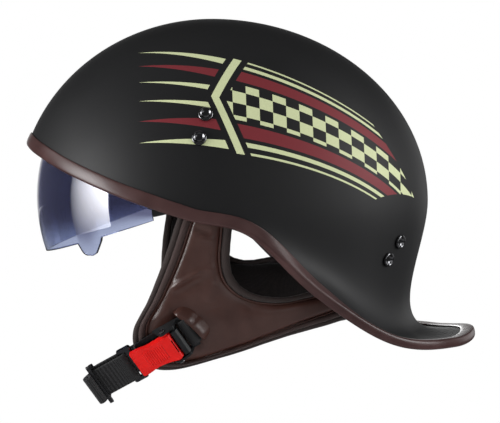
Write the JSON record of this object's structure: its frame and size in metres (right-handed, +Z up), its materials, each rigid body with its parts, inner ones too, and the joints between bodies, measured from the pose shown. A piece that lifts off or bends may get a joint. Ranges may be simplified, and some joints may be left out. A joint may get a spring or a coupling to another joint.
{
  "type": "open face motorcycle helmet",
  "caption": "Half-shell motorcycle helmet with a flared rear brim, drop-down tinted visor, padded leather neck curtain and a ratchet-buckle chin strap.",
  "frame": {"origin": "middle of the head cavity on the plane where the shell is widest, on the mid-plane", "axes": "+Z up through the crown, -X to the wearer's front, -Y to the wearer's left"},
  "size_m": [0.2992, 0.2308, 0.2543],
  "materials": {
    "shell": "matte charcoal paint",
    "trim": "smooth leather-look edging",
    "liner": "moulded foam",
    "comfort": "brushed knit over foam",
    "leather": "grained, soft sheen",
    "knit": "dark knit over foam",
    "webbing": "ribbed nylon webbing",
    "black_plastic": "moulded black",
    "lens": "clear smoked tint",
    "rivet": "dark polished",
    "steel": "plated",
    "red": "moulded red"
  },
  "bodies": {
    "helmet": {"outer_shell": "shell", "edge_trim": "trim", "impact_liner": "liner", "crown_pad": "comfort", "brow_pad": "comfort", "left_temple_pad": "comfort", "right_temple_pad": "comfort", "rear_pad": "comfort", "strap_rivets": "rivet", "strap_anchor_plates": "steel", "left_pivot_base": "black_plastic", "right_pivot_base": "black_plastic", "visor_pivot_screws": "rivet", "left_cheek_pad": "knit", "right_cheek_pad": "knit", "nape_pad": "knit", "left_cheek_cover": "leather", "right_cheek_cover": "leather", "nape_cover": "leather", "curtain_snap_studs": "rivet", "curtain_snap_sockets": "rivet", "left_front_strap": "webbing", "right_front_strap": "webbing", "left_rear_strap": "webbing", "right_rear_strap": "webbing", "buckle_strap": "webbing", "chin_webbing": "webbing", "buckle_frame": "steel", "lever_pin": "steel", "lever_spring": "steel"},
    "visor": {"visor_lens": "lens", "left_visor_arm": "black_plastic", "right_visor_arm": "black_plastic", "lens_rivets": "rivet"},
    "lever": {"buckle_lever": "red"},
    "tongue": {"ratchet_tongue": "black_plastic", "adjuster_loop": "webbing", "strap_slider": "black_plastic"}
  },
  "joints": [
    {"name": "visor_hinge", "type": "hinge", "parent": "helmet", "child": "visor", "pos_m": [-0.008, 0, 0.003], "axis": [0, 1, 0], "range_deg": [0, 36]},
    {"name": "lever_hinge", "type": "hinge", "parent": "helmet", "child": "lever", "pos_m": [-0.02987, -0.09567, -0.08731], "axis": [-0.5299, -0.3449, 0.7747], "range_deg": [0, 40], "stiffness_Nm_per_rad": 0.03, "springref_deg": -17.19},
    {"name": "tongue_slide", "type": "slide", "parent": "helmet", "child": "tongue", "axis": [-0.848, 0.2155, -0.4841], "range_m": [-0.002, 0.022], "deforming": ["chin_webbing"]}
  ]
}
